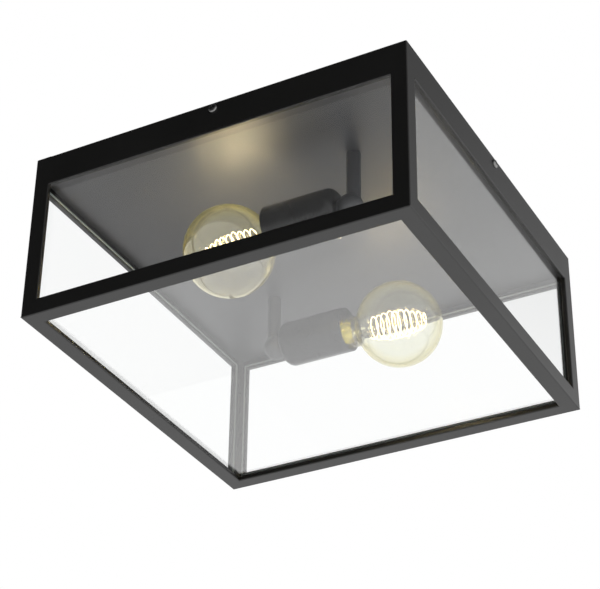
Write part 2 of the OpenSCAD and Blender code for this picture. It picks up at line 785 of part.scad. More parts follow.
// Half outline of the globe: a straight neck, a fillet and the sphere, at distance d inside the skin
globe_fillet = 9;
function globe_outline(d) =
    let (r = globe_r - d, n = neck_r - d, f = globe_fillet + d,
        // the fillet's centre is n + f from the axis and r + f from the globe's middle
        fy = sqrt(pow(r + f, 2) - pow(n + f, 2)),
        meet = atan2(n + f, fy))
    concat(
        [for (k = [0 : 24]) let (a = (180 - meet) * k / 24) [r * sin(a), globe_s + r * cos(a)]],
        [for (k = [1 : 6]) let (a = meet + (90 - meet) * k / 6)
            [n + f - f * sin(a), globe_s - fy + f * cos(a)]]
    );

module lamp_globe(is_rear) {
    root = cap_len - 3;
    neck_end = thread_root_r - cap_wall - 0.1;
    outer = globe_outline(0);
    inner = globe_outline(globe_t);
    color("#e8e4b8", 0.3) on_lamp(is_rear) rotate_extrude() polygon(concat(
        outer, [[neck_r, cap_len + 1.5], [neck_end, cap_len + 0.2], [neck_end, root],
            [neck_end - globe_t, root], [neck_end - globe_t, cap_len + 1.5]],
        reversed(inner)
    ));
}

// Flared glass tube sealed to the neck, drawn down to a solid rod that carries the wires
mount_rod_r = 1.6;
filament_s = globe_s - filament_len / 2;
mount_len = filament_s - (cap_len - 3) - 1.5;
mount_flare_r = thread_root_r - cap_wall - globe_t - 0.55;
mount_bead_r = 2.4;
support_r = 0.25;

module lamp_mount(is_rear) {
    root = cap_len - 3;
    color("#e8e4b8", 0.5) on_lamp(is_rear) rotate_extrude() polygon([
        [0, root + 1], [mount_flare_r - 1, root], [mount_flare_r, root], [mount_flare_r - 4, root + 5],
        [3.4, root + 10], [3, root + 19], [mount_rod_r, root + 22], [mount_rod_r, root + mount_len],
        [mount_bead_r, root + mount_len + 1], [mount_bead_r, root + mount_len + 3],
        [2 * support_r, root + mount_len + 4], [0, root + mount_len + 4]
    ]);
}

spoke_count = 4;

// Radius of the coil along its length: widest before the middle, drawn in most at the far end
function coil_r(t) = filament_r * (1 - 1.4 * pow(t - 0.4, 2));
coil_steps = 16;
function coil_point(t) = let (a = 360 * filament_turns * t)
    [coil_r(t) * cos(a), coil_r(t) * sin(a), filament_s + filament_len * t];

module lamp_filament(is_rear) {
    steps = filament_turns * coil_steps;
    color("orange") on_lamp(is_rear)
        swept_tube([for (k = [0 : steps]) coil_point(k / steps)], filament_wire_r, 6);
}

// A spoke out to the coil at the given turn, starting at r0 from the axis
module spoke(turn, r0) {
    p = coil_point(turn / filament_turns);
    translate([0, 0, p.z]) rotate([0, 0, 360 * turn]) translate([r0, 0, 0]) rotate([0, 90, 0])
        cylinder(r = support_r, h = norm([p.x, p.y]) - filament_wire_r - contact_gap - r0);
}

// One wire from the mount's bead to the coil's near end, and the central wire on to its far end
contact_gap = 0.1;
module lamp_supports(is_rear) {
    start = cap_len - 3 + mount_len + 4;
    color("dimgray") on_lamp(is_rear) {
        spoke(0, mount_bead_r);
        translate([0, 0, start])
            cylinder(r = 2 * support_r, h = filament_s + filament_len + 2 * support_r - start);
        for (n = [1 : spoke_count])
            spoke(filament_turns * n / spoke_count - (spoke_count - n) / spoke_count, 0);
    }
}

// ---------------------------------------------------------------- drawing
mounting_strap();
strap_screws();
ceiling_tray();
terminal_block();
terminal_brass();
tray_screws();
lamp_leads(false);  // front_lamp_leads
lamp_leads(true);  // rear_lamp_leads
stem(false);  // front_stem
stem(true);  // rear_stem
arm_locknuts();
stem_washers();
elbow(false);  // front_elbow
elbow(true);  // rear_elbow
holder_shell(false);  // front_holder_shell
holder_shell(true);  // rear_holder_shell
holder_insert(false);  // front_holder_insert
holder_insert(true);  // rear_holder_insert
thread_shell(false);  // front_thread_shell
thread_shell(true);  // rear_thread_shell
centre_contact(false);  // front_centre_contact
centre_contact(true);  // rear_centre_contact
insert_fixings();
band(front);  // front_band
band(right);  // right_band
band(rear);  // rear_band
band(left);  // left_band
rail(front);  // front_rail
rail(right);  // right_rail
rail(rear);  // rear_rail
rail(left);  // left_rail
post(front);  // front_right_post
post(right);  // rear_right_post
post(rear);  // rear_left_post
post(left);  // front_left_post
pane(front);  // front_pane
pane(right);  // right_pane
pane(rear);  // rear_pane
pane(left);  // left_pane
floor_pane();
glazing_beads();
weld_nuts();
clamp_screw(front);  // front_clamp_screw
clamp_screw(right);  // right_clamp_screw
clamp_screw(rear);  // rear_clamp_screw
clamp_screw(left);  // left_clamp_screw
lamp_cap(false);  // front_lamp_cap
lamp_insulator(false);  // front_lamp_insulator
lamp_tip(false);  // front_lamp_tip
lamp_globe(false);  // front_lamp_globe
lamp_mount(false);  // front_lamp_mount
lamp_supports(false);  // front_lamp_supports
lamp_filament(false);  // front_lamp_filament
lamp_cap(true);  // rear_lamp_cap
lamp_insulator(true);  // rear_lamp_insulator
lamp_tip(true);  // rear_lamp_tip
lamp_globe(true);  // rear_lamp_globe
lamp_mount(true);  // rear_lamp_mount
lamp_supports(true);  // rear_lamp_supports
lamp_filament(true);  // rear_lamp_filament
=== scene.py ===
import json
import math

import bmesh
import bpy
from mathutils import Matrix, Vector

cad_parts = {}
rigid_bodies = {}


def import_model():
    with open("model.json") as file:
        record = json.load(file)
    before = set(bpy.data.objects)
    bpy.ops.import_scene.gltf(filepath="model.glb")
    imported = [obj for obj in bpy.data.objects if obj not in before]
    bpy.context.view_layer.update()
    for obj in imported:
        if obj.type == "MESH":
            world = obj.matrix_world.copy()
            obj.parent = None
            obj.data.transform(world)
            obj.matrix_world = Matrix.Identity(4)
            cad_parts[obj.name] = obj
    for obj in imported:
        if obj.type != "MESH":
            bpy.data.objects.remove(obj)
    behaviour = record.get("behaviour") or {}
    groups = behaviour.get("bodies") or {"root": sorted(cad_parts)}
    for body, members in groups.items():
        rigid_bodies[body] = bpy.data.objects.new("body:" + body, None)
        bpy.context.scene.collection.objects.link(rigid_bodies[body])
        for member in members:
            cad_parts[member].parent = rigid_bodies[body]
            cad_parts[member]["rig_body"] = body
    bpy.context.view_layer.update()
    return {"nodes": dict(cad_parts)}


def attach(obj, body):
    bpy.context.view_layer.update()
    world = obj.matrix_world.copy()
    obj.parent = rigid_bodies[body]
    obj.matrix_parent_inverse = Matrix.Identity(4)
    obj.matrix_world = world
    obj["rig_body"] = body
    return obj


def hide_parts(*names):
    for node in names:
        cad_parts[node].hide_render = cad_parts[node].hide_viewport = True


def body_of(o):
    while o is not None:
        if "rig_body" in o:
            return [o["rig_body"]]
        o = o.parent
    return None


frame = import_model()

# ------------------------------------------------------------------ camera
# The photographer stands below the lantern, in front of it and to its right, and looks up
# through a long lens. The picture is turned by less than a degree.
EYE = Vector((0.66353, -1.24735, -0.98393))
AZIMUTH, ELEVATION, ROLL = (math.radians(a) for a in (28.4272, -32.3276, 0.7971))
LENS, CLIP_NEAR, CLIP_FAR = 112.72, 0.1, 50
UP = Vector((0, 0, 1))
UP = Vector((0, 0, 1))
backwards = Vector((
    math.sin(AZIMUTH) * math.cos(ELEVATION),
    -math.cos(AZIMUTH) * math.cos(ELEVATION),
    math.sin(ELEVATION),
))
level_right = (-backwards).cross(UP).normalized()
level_up = level_right.cross(-backwards)
picture_right = math.cos(ROLL) * level_right + math.sin(ROLL) * level_up
picture_up = -math.sin(ROLL) * level_right + math.cos(ROLL) * level_up
camera = bpy.data.objects.new("camera", bpy.data.cameras.new("camera"))
bpy.context.collection.objects.link(camera)
camera.matrix_world = Matrix.Translation(EYE) @ Matrix(
    (picture_right, picture_up, backwards)
).transposed().to_4x4()
camera.data.lens = LENS
camera.data.clip_start = CLIP_NEAR
camera.data.clip_end = CLIP_FAR
bpy.context.scene.camera = camera

# ------------------------------------------------------------------ ceiling strap
# A slotted strip of zinc-plated steel, screwed to the ceiling. It is punched and its two ends
# are bent down. All sizes from here on are millimetres, as in the CAD source.
MM = 0.001
SIDES = ("front", "right", "rear", "left")
FRONT, RIGHT, REAR, LEFT = range(4)
# The lamp's end, by whether it is the rear one.
ENDS = {False: "front", True: "rear"}
# Gaps closed in a CAD mesh (metres) and in a new shape, and the slack of a comparison.
CAD_GAP, SEAM_GAP, NEAR = 2e-6, 1e-4, 0.01
# Faces this flat to each other are one face, and an edge this sharp can be rounded.
FLAT, SHARP = math.radians(0.2), math.radians(50)
AS_IT_IS = Matrix.Identity(4)


class Reading:
    """One output of a shader node. A sum with readings adds its own Math nodes."""

    def __init__(self, finish, socket):
        self.finish = finish
        self.socket = socket

    def work_out(self, operation, first, second):
        return self.finish.node("ShaderNodeMath", {"operation": operation}, {0: first, 1: second})

    def __add__(self, other):
        return self.work_out("ADD", self, other)

    def __sub__(self, other):
        return self.work_out("SUBTRACT", self, other)

    def __rsub__(self, other):
        return self.work_out("SUBTRACT", other, self)

    def __mul__(self, other):
        return self.work_out("MULTIPLY", self, other)

    __radd__ = __add__
    __rmul__ = __mul__


class Finish:
    """The nodes of one material, or of the world."""

    def __init__(self, name, owner=None):
        self.owner = owner or bpy.data.materials.new(name)
        self.owner.use_nodes = True
        self.owner.node_tree.nodes.clear()

    def node(self, kind, settings=(), sockets=(), output=0):
        """A new node: first its settings, then the values or the links of its sockets."""
        made = self.owner.node_tree.nodes.new(kind)
        for key, value in dict(settings).items():
            setattr(made, key, value)
        for key, value in dict(sockets).items():
            socket = made.inputs[key]
            if isinstance(value, Reading):
                self.owner.node_tree.links.new(value.socket, socket)
            elif socket.type == "RGBA":
                socket.default_value = (*value, 1)
            else:
                socket.default_value = value
        return Reading(self, made.outputs[output])

    def noise(self, per_metre, detail, stretch=(1, 1, 1)):
        """Soft noise on the object's own place, drawn out along an axis with a small stretch."""
        spot = self.node("ShaderNodeTexCoord", output="Object")
        place = self.node("ShaderNodeMapping", (), {"Vector": spot, "Scale": stretch})
        return self.node(
            "ShaderNodeTexNoise", (), {"Vector": place, "Scale": per_metre, "Detail": detail}
        )

    def spread(self, reading, low, high):
        """The reading's part between low and high, drawn out to run from 0 to 1."""
        return self.node(
            "ShaderNodeMapRange", (), {"Value": reading, "From Min": low, "From Max": high}
        )

    def blend(self, first, second, share):
        """Two colours mixed: the first where share is 0, the second where it is 1."""
        factor, a, b, result = 0, 6, 7, 2
        return self.node(
            "ShaderNodeMix", {"data_type": "RGBA"}, {factor: share, a: first, b: second}, result
        )

    def bump(self, height, depth):
        """A normal for relief of this depth in metres."""
        return self.node("ShaderNodeBump", (), {"Height": height, "Distance": depth})

    def body(self, **sockets):
        """The Principled shader, with its sockets named in words joined by underscores."""
        return self.node(
            "ShaderNodeBsdfPrincipled", (), {k.replace("_", " "): v for k, v in sockets.items()}
        )

    def for_ray(self, ray, shader, otherwise):
        """One shader for this kind of ray, and another for all the rest."""
        path = self.node("ShaderNodeLightPath", output=ray)
        return self.node("ShaderNodeMixShader", (), {0: path, 1: otherwise, 2: shader})

    def close(self, shader, kind="ShaderNodeOutputMaterial"):
        """Links the finished shader to the output."""
        end = self.owner.node_tree.nodes.new(kind)
        self.owner.node_tree.links.new(shader.socket, end.inputs["Surface"])
        return self


def zinc_plate(name, bluish, yellowish):
    """Zinc: fine rolling lines, cloudy bluish and yellowish patches, dull spots."""
    zinc = Finish(name)
    cloud = zinc.spread(zinc.noise(70, 3), 0.3, 0.7)
    lines = zinc.noise(900, 2, stretch=(0.06, 1, 1))
    spots = zinc.spread(zinc.noise(1300, 1), 0.62, 0.74)
    tone = zinc.blend(bluish, yellowish, cloud)
    return zinc.close(zinc.body(**{
        "Base_Color": zinc.blend(tone, tuple(c * 0.7 for c in bluish), spots),
        "Metallic": 1.0,
        "Roughness": 0.24 + 0.12 * lines + 0.15 * spots,
        "Normal": zinc.bump(lines, 0.00004),
    }))


def from_cad(node):
    """A CAD node's shape in millimetres, with its loose triangles merged and its flats whole."""
    bm = bmesh.new()
    bm.from_mesh(frame["nodes"][node].data)
    bmesh.ops.remove_doubles(bm, verts=bm.verts, dist=CAD_GAP)
    bmesh.ops.dissolve_limit(bm, angle_limit=FLAT, verts=bm.verts, edges=bm.edges)
    bm.transform(Matrix.Scale(1 / MM, 4))
    return bm


def soften(bm, radius, wanted=lambda edge: True, segments=2):
    """Rounds the wanted ones of the sharp outer edges."""
    sharp = [
        e for e in bm.edges
        if len(e.link_faces) == 2 and e.calc_face_angle_signed() > SHARP and wanted(e)
    ]
    bmesh.ops.bevel(
        bm, geom=sharp, offset=radius, segments=segments, affect="EDGES", profile=0.5,
        material=-1, clamp_overlap=True,
    )
    return bm


def longer_than(length):
    """A test for the long edges, which leaves bores and small steps as they are."""
    return lambda edge: edge.calc_length() > length


def finished(bm, node, *finishes, place=AS_IT_IS, smooth=35):
    """Makes the shape, in millimetres, the piece that stands for a CAD node."""
    name = node + "_finished"
    bm.transform(Matrix.Scale(MM, 4) @ place)
    mesh = bpy.data.meshes.new(name)
    bm.to_mesh(mesh)
    bm.free()
    for finish in finishes:
        mesh.materials.append(finish.owner)
    mesh.shade_smooth()
    mesh.set_sharp_from_angle(angle=math.radians(smooth))
    piece = bpy.data.objects.new(name, mesh)
    bpy.context.collection.objects.link(piece)
    flats = piece.modifiers.new("even_flats", "WEIGHTED_NORMAL")
    flats.keep_sharp = True
    cad = frame["nodes"][node]
    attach(piece, body_of(cad)[0])
    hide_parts(node)


STRAP_HALF, STRAP_BEND, STRAP_BURR, STRAP_EDGE = 173.3, 1.3, 0.25, 8
BLUISH_ZINC, YELLOWISH_ZINC = (0.50, 0.52, 0.55), (0.66, 0.65, 0.60)
zinc = zinc_plate("zinc_plate", BLUISH_ZINC, YELLOWISH_ZINC)
strap = from_cad("mounting_strap")


def on_bend(edge):
    """The folds between the strap's top and its turned-down ends."""
    return all(abs(v.co.x) > STRAP_HALF - NEAR and v.co.z > -NEAR for v in edge.verts)


soften(strap, STRAP_BEND, on_bend, segments=4)
soften(strap, STRAP_BURR, longer_than(STRAP_EDGE))
finished(strap, "mounting_strap", zinc)

# ------------------------------------------------------------------ strap screws
# Two zinc-plated pan head screws hold the tray on the strap's turned-down ends. Heads are
# pressed with a cross recess, and shanks have a rolled thread.
TRAY_HALF = 175.0
SCREW_R, HEAD_R, HEAD_H, SCREW_PITCH, SCREW_DEPTH = 2.0, 4.0, 2.2, 0.7, 0.34
RECESS_HALF, RECESS_WIDTH, RECESS_DEPTH = 2.3, 0.48, 1.5
STRAP_SCREW_LEN, STRAP_SCREW_X, STRAP_SCREW_Z = 5.2, 14, -9


def turned(profile, steps=48):
    """A solid turned about Z from a profile of (radius, height) points."""
    bm = bmesh.new()
    points = [bm.verts.new((r, 0, z)) for r, z in profile]
    edges = [bm.edges.new(pair) for pair in zip(points, points[1:])]
    if min(profile[0][0], profile[-1][0]) > 0:
        edges.append(bm.edges.new((points[-1], points[0])))
    bmesh.ops.spin(
        bm, geom=points + edges, axis=(0, 0, 1), cent=(0, 0, 0), angle=math.tau,
        steps=steps, use_merge=True,
    )
    bmesh.ops.remove_doubles(bm, verts=bm.verts, dist=SEAM_GAP)
    bmesh.ops.recalc_face_normals(bm, faces=bm.faces)
    return bm


def upright(radius, low, high, rows):
    """Points of a plain wall, close enough together to take a thread."""
    return [(radius, low + (high - low) * n / rows) for n in range(rows + 1)]


def roll_thread(bm, radius, depth, pitch, low, high):
    """Moves the plain wall at this radius in or out along a helix that fades at both ends."""
    for v in bm.verts:
        r = math.hypot(v.co.x, v.co.y)
        if abs(r - radius) < NEAR / 10 and low < v.co.z < high:
            turn = v.co.z / pitch - math.atan2(v.co.y, v.co.x) / math.tau
            fade = min(1, (v.co.z - low) / pitch, (high - v.co.z) / pitch)
            scale = 1 + depth * fade * (0.5 - 0.5 * math.cos(math.tau * turn)) / r
            v.co.x *= scale
            v.co.y *= scale


def carve(bm, tool, operation="DIFFERENCE"):
    """The shape with the tool's shape cut out of it, or what the two share."""
    made = []
    for shape in (bm, tool):
        mesh = bpy.data.meshes.new("carving")
        shape.to_mesh(mesh)
        shape.free()
        made.append(bpy.data.objects.new("carving", mesh))
        bpy.context.collection.objects.link(made[-1])
    cut = made[0].modifiers.new("cut", "BOOLEAN")
    cut.operation = operation
    cut.solver = "EXACT"
    cut.object = made[1]
    left = bmesh.new()
    left.from_object(made[0], bpy.context.evaluated_depsgraph_get())
    for o in made:
        bpy.data.meshes.remove(o.data)
    return left


def tapered_bar(half_length, half_width, top, depth):
    """A bar along X that narrows downwards, to cut a slot."""
    bm = bmesh.new()
    bmesh.ops.create_cube(bm, size=2)
    for v in bm.verts:
        deep = v.co.z < 0
        v.co.x *= half_length * (0.55 if deep else 1)
        v.co.y *= half_width * (0.7 if deep else 1)
        v.co.z = top - depth if deep else top + 1
    return bm


def join(shapes):
    """Several shapes as one, each with the place that comes with it."""
    bm = bmesh.new()
    for shape, place in shapes:
        shape.transform(place)
        mesh = bpy.data.meshes.new("joining")
        shape.to_mesh(mesh)
        shape.free()
        bm.from_mesh(mesh)
        bpy.data.meshes.remove(mesh)
    return bm


def pan_screw(length):
    """A pan head screw, seated at Z = 0 with its shank below."""
    rows = round(length / SCREW_PITCH * 8)
    screw = turned(
        [(0, -length), (SCREW_R - 0.45, -length)]
        + upright(SCREW_R, -length + 0.3, -0.05, rows)
        + [(SCREW_R, 0), (HEAD_R - 0.12, 0), (HEAD_R, 0.12), (HEAD_R, 0.75), (3.86, 1.1),
           (3.5, 1.5), (2.95, 1.83), (2.1, 2.08), (1.2, 2.17), (0, HEAD_H)]
    )
    roll_thread(screw, SCREW_R, -SCREW_DEPTH, SCREW_PITCH, -length + 0.2, -0.1)
    for turn in (0, math.pi / 2):
        slot = tapered_bar(RECESS_HALF, RECESS_WIDTH, HEAD_H, RECESS_DEPTH)
        slot.transform(Matrix.Rotation(turn, 4, "Z"))
        screw = carve(screw, slot)
    return screw


def at_side(i, x, depth, z):
    """Place on side i of the lantern: +Z of the piece points outwards, away from the middle."""
    return (
        Matrix.Rotation(i * math.pi / 2, 4, "Z")
        @ Matrix.Translation((x, -depth, z))
        @ Matrix.Rotation(math.pi / 2, 4, "X")
    )


finished(
    join([
        (pan_screw(STRAP_SCREW_LEN), at_side(i, STRAP_SCREW_X, TRAY_HALF, STRAP_SCREW_Z))
        for i in (RIGHT, LEFT)
    ]),
    "strap_screws", zinc,
)

# ------------------------------------------------------------------ ceiling tray
# A shallow pan of folded steel sheet, open upwards. Its floor is the dark plate behind the
# lamps. Its powder coat is a shade paler than the frame's.
TRAY_FOLD, TRAY_BURR, TRAY_EDGE = 0.9, 0.2, 15
FITTING_BLACK = (0.038, 0.040, 0.045)


def powder_coat(name, colour, roughness, grain_depth, gloss):
    """Baked powder: an orange peel of soft waves, fine grain, and a slightly uneven tone."""
    coat = Finish(name)
    cloud = coat.spread(coat.noise(14, 3), 0.25, 0.75)
    peel = coat.noise(900, 1)
    grain = coat.noise(1500, 2)
    pits = coat.spread(coat.noise(2600, 0), 0.66, 0.78)
    dark = tuple(c * 0.86 for c in colour)
    pale = tuple(c * 1.14 for c in colour)
    return coat.close(coat.body(**{
        "Base_Color": coat.blend(coat.blend(dark, pale, cloud), pale, 0.5 * grain),
        "Roughness": roughness - 0.05 + 0.06 * cloud + 0.06 * grain + 0.1 * pits,
        "Specular_IOR_Level": gloss,
        "Normal": coat.bump(0.6 * peel + 0.4 * grain - 0.3 * pits, grain_depth),
    }))


fitting_coat = powder_coat("fitting_coat", FITTING_BLACK, 0.44, 0.000007, 1.0)
tray = from_cad("ceiling_tray")


def outer_fold(edge):
    """The folds between the tray's floor and walls, and between its walls."""
    on_wall = all(max(abs(v.co.x), abs(v.co.y)) > TRAY_HALF - NEAR for v in edge.verts)
    below_rim = any(v.co.z < -1 for v in edge.verts)
    return on_wall and below_rim and edge.calc_length() > TRAY_EDGE


soften(tray, TRAY_FOLD, outer_fold, segments=4)
soften(tray, TRAY_BURR, longer_than(TRAY_EDGE))
finished(tray, "ceiling_tray", fitting_coat)

# ------------------------------------------------------------------ terminal block
# A connector three poles wide in white moulded plastic. The outer two poles have a brass tube
# with two slotted brass screws each. A steel screw through the middle pole clamps the block to
# the tray, and the earth screw stands beside it.
BLOCK_Y, BLOCK_Z, BLOCK_H, BLOCK_DEPTH, POLE = 52.0, -16.8, 13.0, 17.0, 11.0
BLOCK_ROUNDING, BLOCK_EDGE, GROOVE_HALF, GROOVE_DEPTH = 0.5, 10, 0.5, 0.7
TUBE_R, TUBE_LENGTH, GRUB_H, GRUB_SLOT, GRUB_SLOT_DEPTH = 2.6, 13.0, 2.4, 0.28, 0.5
MIDDLE_SCREW_LEN, EARTH_SCREW_LEN, EARTH_X, EARTH_LIFT = 15.95, 4.55, 34, 1.6


def moulded_plastic():
    """White plastic: faint flow lines and cloud, and a fine sparkle."""
    plastic = Finish("moulded_plastic")
    cloud = plastic.spread(plastic.noise(60, 3), 0.3, 0.7)
    flow = plastic.noise(240, 2, stretch=(1, 0.2, 1))
    spark = plastic.noise(2400, 1)
    mottle = 0.6 * cloud + 0.4 * flow
    return plastic.close(plastic.body(**{
        "Base_Color": plastic.blend((0.70, 0.69, 0.64), (0.80, 0.79, 0.75), mottle),
        "Roughness": 0.38 + 0.16 * spark,
        "Normal": plastic.bump(spark, 0.00005),
    }))


def worn_brass():
    """Pressed brass: drawing lines, and brown tarnish in patches."""
    brass = Finish("worn_brass")
    patches = brass.spread(brass.noise(160, 4), 0.45, 0.75)
    lines = brass.noise(1500, 1, stretch=(1, 1, 0.1))
    return brass.close(brass.body(**{
        "Base_Color": brass.blend((0.86, 0.62, 0.27), (0.52, 0.33, 0.13), patches),
        "Metallic": 1.0,
        "Roughness": 0.2 + 0.12 * lines + 0.16 * patches,
        "Normal": brass.bump(lines, 0.00003),
    }))


def bar(half_size, centre):
    """A plain box, as a tool to cut with."""
    bm = bmesh.new()
    place = Matrix.Translation(centre) @ Matrix.Diagonal((*half_size, 1))
    bmesh.ops.create_cube(bm, size=2, matrix=place)
    return bm


def slotted_screw(radius, height, rim=0.25):
    """A headless screw with a chamfered rim and a straight slot."""
    screw = turned(
        [(0, 0), (radius, 0), (radius, height - rim), (radius - rim, height), (0, height)], 32
    )
    return carve(screw, bar((2 * radius, GRUB_SLOT, GRUB_SLOT_DEPTH), (0, 0, height)))


plastic = moulded_plastic()
brass = worn_brass()
block = soften(from_cad("terminal_block"), BLOCK_ROUNDING, longer_than(BLOCK_EDGE), segments=3)
for side in (-1, 1):
    groove = bar(
        (GROOVE_HALF, BLOCK_DEPTH, GROOVE_DEPTH), (side * POLE / 2, BLOCK_Y, BLOCK_Z + BLOCK_H)
    )
    block = carve(block, groove)
finished(block, "terminal_block", plastic)
poles = []
for side in (-1, 1):
    middle = Vector((side * POLE, BLOCK_Y, BLOCK_Z + BLOCK_H / 2))
    half = TUBE_LENGTH / 2
    tube = turned([
        (TUBE_R - 0.8, -half + 0.2), (TUBE_R - 0.6, -half), (TUBE_R - 0.15, -half),
        (TUBE_R, -half + 0.15), (TUBE_R, half - 0.15), (TUBE_R - 0.15, half),
        (TUBE_R - 0.6, half), (TUBE_R - 0.8, half - 0.2),
    ])
    poles.append((tube, Matrix.Translation(middle) @ Matrix.Rotation(math.pi / 2, 4, "X")))
    for y in (-BLOCK_DEPTH / 4, BLOCK_DEPTH / 4):
        head = slotted_screw(TUBE_R - 0.9, GRUB_H)
        poles.append((head, Matrix.Translation(middle + Vector((0, y, TUBE_R)))
                      @ Matrix.Rotation(0.4 + side + y, 4, "Z")))
finished(join(poles), "terminal_brass", brass)
finished(
    join([
        (pan_screw(MIDDLE_SCREW_LEN), Matrix.Translation((0, BLOCK_Y, BLOCK_Z + BLOCK_H))),
        (pan_screw(EARTH_SCREW_LEN), Matrix.Translation((EARTH_X, BLOCK_Y, BLOCK_Z + EARTH_LIFT))),
    ]),
    "tray_screws", zinc,
)

# ------------------------------------------------------------------ leads
# A brown live and a blue neutral lead run from the block to each lampholder: along the tray,
# down the stem and through the elbow. They are stranded copper in soft plastic insulation.
ARM_X, ARM_Y, ARM_Z = 85.6, 85.9, 75.2
LEAD_R, LEAD_GAP, LEAD_Z, LEAD_HOP, LEAD_BEND, ARC_STEPS = 1.2, 3.2, -10.3, 5.5, 5.0, 6


def insulation(name, colour):
    """Soft plastic: faint rings from the drawing, and pale dust."""
    skin = Finish(name)
    rings = skin.noise(900, 1, stretch=(0.3, 0.3, 1))
    dust = skin.spread(skin.noise(300, 3), 0.4, 0.8)
    pale = tuple(0.75 * c + 0.06 for c in colour)
    return skin.close(skin.body(**{
        "Base_Color": skin.blend(colour, pale, 0.6 * dust),
        "Roughness": 0.34 + 0.15 * dust + 0.08 * rings,
        "Normal": skin.bump(rings, 0.00003),
    }))


def lead_route(pole, rear):
    """The corners of one lead's way, as in the CAD source."""
    s = 1 if rear else -1
    off = pole * LEAD_GAP / 2
    stem = Vector((-s * ARM_X, s * ARM_Y + off, 0))
    way = [Vector((pole * POLE, BLOCK_Y + s * TUBE_LENGTH / 2, LEAD_Z))]
    if rear:
        turn = BLOCK_Y + 18 + 2 * pole
        way += [
            Vector((pole * POLE - 2, turn, LEAD_Z)),
            Vector((-ARM_X + 24, ARM_Y + off - 4, LEAD_Z)),
        ]
    else:
        start, stop = Vector((5, -5, LEAD_Z)), Vector((ARM_X - 40, -ARM_Y + 17, LEAD_Z))
        along = (stop - start).normalized()
        apart = Vector((-along.y, along.x, 0)) * off
        way += [Vector((pole * POLE, BLOCK_Y - 18, LEAD_Z)), start + apart, stop + apart]
    way += [stem + Vector((s * 14, 0, LEAD_Z + 1)), stem + Vector((0, 0, -LEAD_HOP))]
    way += [stem + Vector((0, 0, -ARM_Z)), stem + Vector((s * 18.4, 0, -ARM_Z))]
    way += [Vector((-s * ARM_X + s * 21, s * ARM_Y + 2 * off, -ARM_Z))]
    return way


def eased(corners, radius):
    """The same way with each corner turned into an arc that takes under half of each leg."""
    way = [corners[0]]
    for before, corner, after in zip(corners, corners[1:], corners[2:]):
        room = min(radius, (corner - before).length / 2.1, (after - corner).length / 2.1)
        a = corner + (before - corner).normalized() * room
        b = corner + (after - corner).normalized() * room
        for n in range(ARC_STEPS + 1):
            t = n / ARC_STEPS
            way.append(a * (1 - t) ** 2 + 2 * corner * t * (1 - t) + b * t**2)
    return way + [corners[-1]]


def wire(way, radius, roundness=3):
    """A round wire along a way, as a shape of its own with closed ends."""
    curve = bpy.data.curves.new("wire", "CURVE")
    curve.dimensions = "3D"
    curve.bevel_depth = radius
    curve.bevel_resolution = roundness
    curve.use_fill_caps = True
    line = curve.splines.new("POLY")
    line.points.add(len(way) - 1)
    for point, place in zip(line.points, way):
        point.co = (*place, 1)
    drawn = bpy.data.objects.new("wire", curve)
    bpy.context.collection.objects.link(drawn)
    bm = bmesh.new()
    bm.from_mesh(drawn.to_mesh())
    drawn.to_mesh_clear()
    bpy.data.objects.remove(drawn)
    bpy.data.curves.remove(curve)
    bmesh.ops.remove_doubles(bm, verts=bm.verts, dist=SEAM_GAP)
    bmesh.ops.recalc_face_normals(bm, faces=bm.faces)
    return bm


def paint_faces(bm, index, wanted=lambda face: True):
    """Gives the wanted faces the piece's finish of this number."""
    for face in bm.faces:
        if wanted(face):
            face.material_index = index
    return bm


brown = insulation("brown_insulation", (0.16, 0.062, 0.022))
blue = insulation("blue_insulation", (0.022, 0.10, 0.36))
for rear, end in ENDS.items():
    live, neutral = (wire(eased(lead_route(pole, rear), LEAD_BEND), LEAD_R) for pole in (1, -1))
    both = join([(live, AS_IT_IS), (paint_faces(neutral, 1), AS_IT_IS)])
    finished(both, end + "_lamp_leads", brown, blue)

# ------------------------------------------------------------------ stems and elbows
# Each stem is a steel tube with a threaded upper end, clamped through the tray between a hexagon
# nut and the plate. A toothed washer under the nut bites through the paint. The cast elbow
# underneath turns the wires towards the lampholder, where a second nut clamps the cup.
STEM_R, NIPPLE_R, BORE_R, STEM_FOOT, STEM_HEAD, NIPPLE_TOP = 6.2, 5.0, 4.0, 6.309, 54.2, 61.2
NIPPLE_PITCH, NIPPLE_DEPTH = 1.0, 0.5
TRAY_FLOOR, ELBOW_NUT_X = -19.8, 14.9
NUT_FLATS, NUT_H, WASHER_H, TEETH = 14.0, 3.0, 0.8, 16


def on_arm(rear):
    """Place of a lamp arm: its stem along Z, and its lampholder's axis along X to the mouth."""
    s = 1 if rear else -1
    return Matrix.Translation((-s * ARM_X, s * ARM_Y, -ARM_Z)) @ Matrix.Rotation(
        0 if rear else math.pi, 4, "Z"
    )


def hexagon_nut(flats, height, bore, pitch):
    """A nut with both faces chamfered and a thread in its bore. The tools reach past both
    faces, because a cut in the plane of a face comes out differently from run to run."""
    corner = flats / math.sqrt(3)
    nut = bmesh.new()
    bmesh.ops.create_cone(
        nut, cap_ends=True, segments=6, radius1=corner, radius2=corner, depth=height,
        matrix=Matrix.Translation((0, 0, height / 2)) @ Matrix.Rotation(math.pi / 6, 4, "Z"),
    )
    turn = 0.6 * (corner - flats / 2)
    narrow = flats / 2 - 0.1 - 0.1 * (corner + 0.15 - flats / 2) / turn
    rounding = turned([
        (0, -0.1), (narrow, -0.1), (corner + 0.05, turn), (corner + 0.05, height - turn),
        (narrow, height + 0.1), (0, height + 0.1),
    ], 96)
    nut = carve(nut, rounding, "INTERSECT")
    rows = round((height + 1) / pitch * 6)
    hole = turned([(0, -0.5)] + upright(bore, -0.5, height + 0.5, rows) + [(0, height + 0.5)])
    roll_thread(hole, bore, 0.3 * pitch, pitch, -0.6, height + 0.6)
    return carve(nut, hole)


